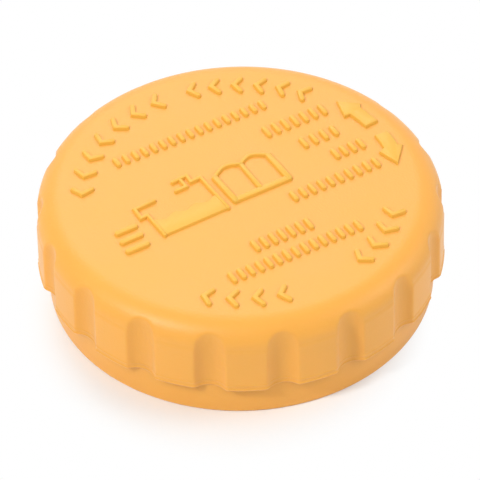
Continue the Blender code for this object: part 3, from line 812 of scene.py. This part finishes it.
# %% [markdown]
# The tank is drawn as a section: two walls with a filler neck and a pipe stub, and under a
# wavy level the coolant stands as high as the walls. The book is two pages with arched heads
# on a broad foot, with a spine between them.

# %% Tank and book
TANK_STROKE = 0.6
HEAD_STROKE = 0.62
SPINE_STROKE = 0.75
SIDE_STROKE = 1.0
FOOT_STROKE = 1.1


def make_tank():
    """Walls as strokes, and the coolant as one raised field under a level of three waves."""
    x = np.linspace(-15.5, -4.1, 31)
    level_line = 0.2 + 0.32 * np.cos((x - x[0]) / (x[-1] - x[0]) * 3.0 * TURN)
    coolant = np.concatenate([np.stack([x, level_line], axis=-1), [(-4.0, -3.2), (-15.4, -3.5)]])
    left = [(-15.6, -3.4), (-15.75, 2.0), (-17.0, 1.9), (-16.9, 4.2), (-13.2, 4.45)]
    right_wall = [(-3.9, -3.1), (-4.15, 5.45), (-6.0, 5.3), (-5.85, 7.0), (-8.6, 6.7)]
    neck = [(-7.25, 6.7), (-7.2, 4.7), (-9.1, 4.6)]
    return joined(
        raised(to_cap(coolant), 0.8 * SIGN_HEIGHT), drawn(left, TANK_STROKE),
        drawn(right_wall, TANK_STROKE), drawn(neck, TANK_STROKE, 0.97))


def page_head(start, end, rise):
    """Head of a page: half a sine wave over the line from start to end."""
    t = np.linspace(0.0, 1.0, 13)[:, None]
    line = np.asarray(start) * (1 - t) + np.asarray(end) * t
    return line + np.array((0.0, rise)) * np.sin(np.pi * t)


def make_book():
    """Pages, spine and foot, each a little lower than the one before, so that none coincide."""
    spine_top = (3.0, 4.9)
    return joined(
        drawn([(-2.0, -2.2), (-2.2, 4.1)], SIDE_STROKE),
        drawn([(8.0, -2.1), (7.9, 4.4)], SIDE_STROKE),
        drawn(page_head((-2.2, 4.2), spine_top, 1.15), HEAD_STROKE, 0.98),
        drawn(page_head(spine_top, (7.9, 4.5), 1.2), HEAD_STROKE, 0.96),
        drawn([(2.95, -1.6), spine_top], SPINE_STROKE, 0.94),
        drawn([(-2.0, -2.1), (8.0, -2.0)], FOOT_STROKE, 0.92))


signs += [make_tank(), make_book()]
# the signs take the lighter copy of the yellow, painted light on the raised relief
dress("crown_signs", joined(*signs), "cap_body", "yellow_plastic", finish=lit_sign_plastic)

# %% [markdown]
# ## The valve housing
#
# The black pot is turned in section: a flange that the hooks trap, a plain barrel, two lands
# with the O-ring's groove between them, a chamfered nose, and inside it the seat, the cavity and
# the step and groove for the retainer and its clip. Six windows let steam out over the ribs.

# %% Turn the housing
FLOOR_TOP = 3.2
CAVITY = 17.0
BARREL = 19.3
VENT_TOP = 11.85
VENT_BOTTOM = 10.55
VENT_WIDTH = 6.0
VENT_CORNERS = (4, 19)     # counted from 0: where the open part of each wall ends
RIB_COUNT = 6


def make_housing():
    """Lattice of the closed section; at a window its two walls are open and joined by a frame."""
    section = eased([
        (24.4, 15.05, 0.3), (24.4, 13.25, 0.3), (BARREL, 13.25, 0.4), (BARREL, VENT_TOP, 0.02),
        (BARREL, VENT_BOTTOM, 0.02), (BARREL, 9.8, 0.2), (21.4, 9.8, 0.3), (21.4, 8.6, 0.15),
        (BARREL, 8.6, 0.25), (BARREL, 5.2, 0.25), (21.4, 5.2, 0.15), (21.4, 4.0, 0.5),
        (18.8, 1.4, 0.6), (6.6, 1.4, 0.4), (6.6, 4.0, 0.15), (7.8, 4.0, 0.3), (7.8, FLOOR_TOP, 0.2),
        (CAVITY, FLOOR_TOP, 0.9), (CAVITY, VENT_BOTTOM, 0.02), (CAVITY, VENT_TOP, 0.02),
        (CAVITY, 12.15, 0.1), (17.7, 12.15, 0.1), (17.7, 13.25, 0.05), (18.6, 13.25, 0.1),
        (18.6, 14.65, 0.1), (17.7, 14.65, 0.05), (17.7, 15.05, 0.12),
    ])
    middle = (np.arange(RIB_COUNT) + 0.5) * TURN / RIB_COUNT
    half = np.arcsin(VENT_WIDTH / 2 / ((BARREL + CAVITY) / 2))
    angle = np.unique(np.round(np.concatenate(
        [full_turn(180), (middle - half) % TURN, (middle + half) % TURN]), 7))
    points, blocks = carried(section, angle, closed=True)
    rows, columns = len(angle), len(section)
    open_row, opens, closes = gaps(angle, middle, half)
    outer, inner = (corner * CORNER_STEPS - 1 for corner in VENT_CORNERS)
    keep = np.ones((rows, columns), bool)
    keep[open_row, outer] = keep[open_row, inner] = False
    i = np.flatnonzero(open_row) * columns
    after = (i + columns) % len(points)
    sills = [
        np.stack([i + start, after + start, after + end, i + end], axis=-1)
        for start, end in ((inner + 1, outer), (outer + 1, inner))]
    corners = np.array([outer, outer + 1, inner, inner + 1])
    jambs = [opens[:, None] * columns + corners, closes[:, None] * columns + corners[::-1]]
    return points, [blocks[0].reshape(rows, columns, 4)[keep], *sills, *jambs]


housing_pot = make_housing()
print(len(housing_pot[0]), "points in the pot")

# %% [markdown]
# Six ribs stand on the floor of the pot and guide the pressure plate. Each one is an upright
# block with an eased top that runs a little way into the wall.

# %% Guide ribs
RIB_HALF = 0.7 * MM


def make_rib(turn):
    """One rib: an upright section between two radii, carried across the rib's thickness."""
    section = eased([(11.3, 2.2, 0.1), (18.1, 2.2, 0.1), (18.1, 9.4, 0.3), (11.3, 9.4, 0.5)])
    side = RIB_HALF * np.array((-1.0, -0.85, 0.85, 1.0))
    shrink = np.array((0.985, 1.0, 1.0, 0.985))
    middle = section.mean(axis=0)
    flat = middle + (section - middle)[None] * shrink[:, None, None]
    points = np.stack([*turned(flat[..., 0], side[:, None], turn), flat[..., 1]], axis=-1)
    return closed_stack(points)


ribs = [make_rib(turn) for turn in full_turn(RIB_COUNT)]
dress(
    "valve_pot", joined(housing_pot, *ribs), "valve_insert", "black_plastic", ["valve_housing"])

# %% [markdown]
# ## Rings, seals and discs
#
# The smaller turned pieces each take their outer radius and their two heights from the frame,
# so that they lie exactly where the solids do; only the bore and the edges are given here.

# %% Turn the rings
RING_COLUMNS = 128
FLASH = 0.035


def heights(node):
    """Bottom and top of a solid, in millimetres."""
    low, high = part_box(node)
    return low.z / MM, high.z / MM


def block_section(outer, inner, bottom, top, ease, inner_ease):
    """Section of four eased corners, from the outer top round the bottom to the inner top."""
    return eased([
        (outer, top, ease), (outer, bottom, ease), (inner, bottom, inner_ease),
        (inner, top, inner_ease)])


def make_ring(node, bore, ease):
    """A ring of square section with eased edges, as wide and as high as its solid."""
    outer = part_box(node)[1].y / MM
    section = block_section(outer, bore, *heights(node), ease, ease)
    return carried(section, full_turn(RING_COLUMNS), closed=True)


def make_o_ring():
    """Round section, with the fine flash that the mould leaves inside and outside."""
    low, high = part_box("neck_o_ring")
    half = (high.z - low.z) / 2
    around = full_turn(40)
    flash = 1.0 + FLASH * np.exp(-((np.sin(around) / 0.12) ** 2))
    section = np.stack([half * flash * np.cos(around), half * np.sin(around)], axis=-1)
    middle = (low.z + high.z) / 2
    return carried(section, full_turn(180), high.y - half * (1.0 + FLASH), middle, closed=True)


RINGS = [
    ("slip_washer", "slip_ring", 19.0, 0.1, "valve_insert", "natural_plastic"),
    ("pressure_seal", "main_seal", 5.1, 0.2, "pressure_valve", "black_rubber"),
    ("vacuum_seal", "small_seal", 1.5, 0.15, "vacuum_valve", "black_rubber"),
    ("vacuum_disc", "valve_disc", 1.5, 0.12, "vacuum_valve", "brass"),
    ("vacuum_spring_washer", "spring_cap_washer", 1.5, 0.1, "vacuum_valve", "spring_steel"),
]
for node, name, bore, ease, body, slot in RINGS:
    dress(name, make_ring(node, bore, ease), body, slot, [node])
dress("o_ring", make_o_ring(), "valve_insert", "black_rubber", ["neck_o_ring"])

# %% [markdown]
# ## Retainer, plate and stem
#
# The retainer is pressed from sheet, so both of its faces follow one bend. The plate is moulded,
# with a cup round its seal, a lip for the vacuum seal, a hub round the stem, and four bleed holes
# that open when the vacuum disc drops. The stem is turned from brass, with a head below and a
# groove for its clip above.

# %% Press the retainer
def make_retainer():
    """Sheet of one thickness: rim, slope and raised middle with its hole."""
    return carried(eased([
        (17.4, 13.25, 0.12), (17.4, 12.45, 0.12), (11.16, 12.45, 0.5), (9.6, 14.4, 0.4),
        (2.0, 14.4, 0.1), (2.0, 15.2, 0.1), (9.87, 15.2, 0.6), (11.43, 13.25, 0.4),
    ]), full_turn(RING_COLUMNS), closed=True)


dress("dished_retainer", make_retainer(), "valve_insert", "spring_steel", ["spring_retainer"])

# %% Mould the plate
BLEED_COUNT = 4
BLEED_PLACE = 3.25
BLEED_HOLE = 0.5
BLEED_PATCH = 0.6
BLEED_POINTS = 9
WEB_UNDER = 5.8
WEB_TOP = 6.8


def make_plate():
    """Cup, lip and hub in one section, with a round hole cut in each square patch of the web.

    A patch is nine lattice points each way. The square of points at three quarters of its size
    moves on to the hole's circle, the points inside it go, and a wall joins both faces.
    """
    patch = np.linspace(-1.0, 1.0, BLEED_POINTS)
    step = np.arange(BLEED_POINTS)
    reach = BLEED_PLACE + BLEED_PATCH * patch
    under = np.stack([reach, np.full(BLEED_POINTS, WEB_UNDER)], axis=-1) * MM
    over = np.stack([reach[::-1], np.full(BLEED_POINTS, WEB_TOP)], axis=-1) * MM
    corners = [
        (1.5, WEB_UNDER, 0.1), (4.0, WEB_UNDER, 0.1), (4.0, 4.9, 0.1), (4.8, 4.9, 0.1),
        (4.8, WEB_UNDER, 0.1), (9.6, WEB_UNDER, 0.15), (9.6, 4.6, 0.15), (10.8, 4.6, 0.2),
        (10.8, WEB_TOP, 0.3), (2.5, WEB_TOP, 0.1), (2.5, 8.4, 0.15), (1.5, 8.4, 0.15),
    ]
    hub, cup, neck = np.split(eased(corners), (CORNER_STEPS, 9 * CORNER_STEPS))
    section = np.concatenate([hub, under, cup, over, neck])
    half = BLEED_PATCH / BLEED_PLACE
    quarter = TURN / BLEED_COUNT
    one = np.concatenate([half * patch, np.linspace(half, quarter - half, 18)[1:-1]])
    angle = (np.arange(BLEED_COUNT)[:, None] * quarter + one).ravel()
    points, blocks = carried(section, angle, closed=True)
    rows, columns = len(angle), len(section)
    v, u = np.meshgrid(patch, patch)
    rim = np.isclose(np.maximum(np.abs(u), np.abs(v)), 0.75)
    order = np.argsort(np.arctan2(u, v)[rim])
    away = np.hypot(u, v)[rim][order]
    x = BLEED_PLACE + BLEED_HOLE * v[rim][order] / away
    y = BLEED_HOLE * u[rim][order] / away
    keep = np.ones((rows, columns), bool)
    walls = []
    for index in range(BLEED_COUNT):
        row = index * len(one)
        loops = []
        for column, way in ((len(hub), 1), (len(hub) + BLEED_POINTS + len(cup), -1)):
            at = (row + step)[:, None] * columns + column + step[None, ::way]
            loop = at[rim][order]
            points[loop, :2] = np.stack(turned(x, y, index * quarter), axis=-1) * MM
            loops.append(loop)
            keep[row + 1:row + BLEED_POINTS - 2, column + 1:column + BLEED_POINTS - 2] = False
        low, high = loops
        walls.append(np.stack([high, np.roll(high, -1), np.roll(low, -1), low], axis=-1))
    blocks = [blocks[0].reshape(rows, columns, 4)[keep], *walls]
    used = np.zeros(len(points), bool)
    for block in blocks:
        used[block] = True
    number = np.cumsum(used) - 1
    return outward(points[used], [number[block] for block in blocks])


dress("valve_plate", make_plate(), "pressure_valve", "natural_plastic", ["pressure_plate"])

# %% Turn the stem
def make_stem():
    """Profile from the middle of the head to the middle of the tip."""
    bottom, top = heights("vacuum_stem")
    profile = np.array([
        (0.0, bottom), (1.6, bottom), (2.35, bottom + 0.05), (2.55, bottom + 0.16), (2.6, 1.95),
        (2.57, 2.12), (2.45, 2.2), (1.3, 2.2), (1.22, 2.25), (1.2, 2.4), (1.2, 6.0), (1.2, 11.4),
        (1.17, 11.5), (0.8, 11.5), (0.75, 11.55), (0.75, 12.05), (0.8, 12.1), (1.17, 12.1),
        (1.2, 12.15), (1.2, 12.25), (1.05, top), (0.0, top),
    ]) * MM
    points = round_axis(profile[1:-1, :1], full_turn(64), profile[1:-1, 1:])
    return poled(points, profile[0, 1], profile[-1, 1])


dress("valve_stem", make_stem(), "vacuum_valve", "brass", ["vacuum_stem"])

# %% [markdown]
# ## Springs and clips
#
# A compression spring is a round wire on a helix whose last quarter turns lie flat. When the valve
# opens the wire's coils close up; here each spring keeps its wound shape and only gets a mesh of
# its own. The circlip is an open ring with an eye at each end; the stem's clip is an open washer.

# %% Wind the springs
def make_coil(node, wire, turns):
    """Wire of round section; height rises evenly between two flat quarter turns."""
    low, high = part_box(node)
    around = full_turn(20)
    section = np.stack([wire / 2 * np.cos(around), wire / 2 * np.sin(around)], axis=-1) * MM
    turn = np.linspace(0.0, turns, round(turns * 72))
    share = np.clip((turn - 0.25) / (turns - 0.5), 0.0, 1.0)
    half = wire * MM / 2
    rise = high.z - low.z - wire * MM
    return carried(section, turn * TURN, high.y - half, low.z + half + rise * share)


main_spring = dress(
    "main_spring", make_coil("pressure_spring", 1.3, 3.25), "valve_insert", "spring_steel",
    ["pressure_spring"])
light_spring = dress(
    "light_spring", make_coil("vacuum_spring", 0.45, 4.0), "pressure_valve", "spring_steel",
    ["vacuum_spring"])

# %% Bend the clips
def make_circlip():
    """Open ring with its gap at the back and two eyes; it gives way round each eye's hole."""
    level = heights("retaining_clip")
    outer, inner, gap, eye, hole = 18.3, 16.2, 7.0, 1.7, 0.7
    half_gap = np.arcsin(gap / (inner + outer))
    sweep = np.linspace(np.pi / 2 + half_gap, np.pi / 2 + TURN - half_gap, 320)
    ring_points, ring_blocks = carried(block_section(outer, inner, *level, 0.1, 0.1), sweep)
    eye_reach = inner - hole / 2
    eye_turn = np.arcsin((gap / 2 + eye) / inner)
    reach = np.hypot(ring_points[:, 0], ring_points[:, 1])
    aside = np.abs(np.arctan2(ring_points[:, 0], ring_points[:, 1]))
    off = (aside - eye_turn) * eye_reach
    least = (eye_reach + np.sqrt(np.clip((hole + 0.15) ** 2 - off**2, 0.0, None))) * MM
    ring_points[:, :2] *= (np.maximum(reach, least) / reach)[:, None]
    eyes = []
    for side in (-1, 1):
        points, blocks = carried(
            block_section(eye, hole, *level, 0.1, 0.05), full_turn(32), closed=True)
        turn = np.pi / 2 + side * eye_turn
        points[:, :2] += eye_reach * MM * np.array((np.cos(turn), np.sin(turn)))
        eyes.append((points, blocks))
    return joined((ring_points, ring_blocks), *eyes)


def make_stem_clip():
    """Open washer with its gap at the side."""
    outer, inner, gap, middle = 2.2, 0.9, 1.5, 1.6
    section = block_section(outer, inner, *heights("stem_clip"), 0.06, 0.06)
    half_gap = np.arcsin(gap / 2 / middle)
    return carried(section, np.linspace(half_gap, TURN - half_gap, 56))


dress("circlip", make_circlip(), "valve_insert", "spring_steel", ["retaining_clip"])
dress("stem_lock", make_stem_clip(), "vacuum_valve", "spring_steel", ["stem_clip"])


def close_up(spring):
    """Give a spring a mesh of its own; it is not flattened here."""
    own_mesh(spring)


close_up(main_spring)
close_up(light_spring)

# %% [markdown]
# ## Floor, world and lamps
#
# The cap stands on plain white. The floor takes the cap's shadow near it and turns into pure
# white further out, where the camera, mirrors and glass look at it. The world is white to them
# too, and a little dimmer where it lights the object, because the lamps add to it.

# %% Floor
FLOOR_SIZE = 3.0
SHADOW_CENTRE = (-3.0 * MM, -9.0 * MM, 0.0)
SHADOW_INNER = 22.5 * MM
SHADOW_OUTER = 34.0 * MM
FLOOR_TINT = (0.9, 0.93, 0.945, 1.0)


def seen_directly(nodes, links):
    """1 for camera, mirror and glass rays and 0 for the light that the floor throws back."""
    path = nodes.new("ShaderNodeLightPath")
    either = math_node(
        nodes, links, "MAXIMUM", path.outputs["Is Camera Ray"], path.outputs["Is Glossy Ray"])
    return math_node(nodes, links, "MAXIMUM", either, path.outputs["Is Transmission Ray"])


def make_floor_finish():
    """White to the eye: share of plain white = seen * distance mask round a point in front."""
    material = bpy.data.materials.new("studio_floor")
    material.use_nodes = True
    nodes, links = material.node_tree.nodes, material.node_tree.links
    nodes.clear()
    place = nodes.new("ShaderNodeTexCoord").outputs["Object"]
    flat = nodes.new("ShaderNodeVectorMath")
    flat.operation = "DISTANCE"
    flat.inputs[1].default_value = SHADOW_CENTRE
    links.new(place, flat.inputs[0])
    mask = nodes.new("ShaderNodeMapRange")
    mask.interpolation_type = "SMOOTHSTEP"
    links.new(flat.outputs["Value"], mask.inputs["Value"])
    set_inputs(mask, {"From Min": SHADOW_INNER, "From Max": SHADOW_OUTER})
    seen = seen_directly(nodes, links)
    share = math_node(nodes, links, "MULTIPLY", seen, mask.outputs["Result"])
    matt = nodes.new("ShaderNodeBsdfDiffuse")
    matt.inputs["Color"].default_value = FLOOR_TINT
    surface = matt.outputs[0]
    underside = nodes.new("ShaderNodeNewGeometry").outputs["Backfacing"]
    for factor, kind in ((share, "Emission"), (underside, "BsdfTransparent")):
        mix = nodes.new("ShaderNodeMixShader")
        other = nodes.new(f"ShaderNode{kind}").outputs[0]
        for socket, value in zip(mix.inputs, (factor, surface, other)):
            links.new(value, socket)
        surface = mix.outputs[0]
    links.new(surface, nodes.new("ShaderNodeOutputMaterial").inputs["Surface"])
    return material


floor_mesh = bpy.data.meshes.new("studio_floor")
floor_mesh.from_pydata(
    [(x * FLOOR_SIZE, y * FLOOR_SIZE, 0.0)
     for x, y in ((-0.5, -0.5), (0.5, -0.5), (0.5, 0.5), (-0.5, 0.5))], [], [(0, 1, 2, 3)])
floor_mesh.materials.append(make_floor_finish())
floor = in_scene("studio_floor", floor_mesh)
print("floor", FLOOR_SIZE, "m square")

# %% World and lamps
WORLD_LIGHT = 0.52
LAMPS = [
    ("left_key", (-0.38, -0.30, 0.52), 0.11, 2.35),
    ("right_fill", (0.54, -0.04, 0.40), 0.34, 1.05),
    ("back_box", (-0.08, 0.50, 0.52), 0.50, 1.75),
]


def make_world():
    """White where it is seen, dimmer where it lights: strength = light + seen * (1 - light)."""
    world = bpy.data.worlds.new("studio")
    world.use_nodes = True
    nodes, links = world.node_tree.nodes, world.node_tree.links
    seen = seen_directly(nodes, links)
    strength = math_node(nodes, links, "MULTIPLY_ADD", seen, 1.0 - WORLD_LIGHT, WORLD_LIGHT)
    background = nodes["Background"].inputs
    links.new(strength, background["Strength"])
    background["Color"].default_value = (1.0, 1.0, 1.0, 1.0)
    scene.world = world


def add_lamp(name, place, size, power):
    """A round soft lamp that looks at the middle of the cap."""
    lamp_data = bpy.data.lights.new(name, "AREA")
    lamp_data.shape = "DISK"
    lamp_data.size = size
    lamp_data.energy = power
    lamp = in_scene(name, lamp_data)
    away = np.array(place) / np.linalg.norm(place)
    sideways = np.cross((0.0, 0.0, 1.0), away)
    sideways /= np.linalg.norm(sideways)
    lamp.matrix_world = pose_matrix(sideways, np.cross(away, sideways), away, place)


make_world()
for lamp in LAMPS:
    add_lamp(*lamp)
scene.view_settings.view_transform = "Standard"
print(len(LAMPS), "lamps")

# %% [markdown]
# ## The last step
#
# The dressed cap should fill the same box as its solids. Last, the view layer is brought up to
# date.

# %% Update the view layer
bpy.context.view_layer.update()
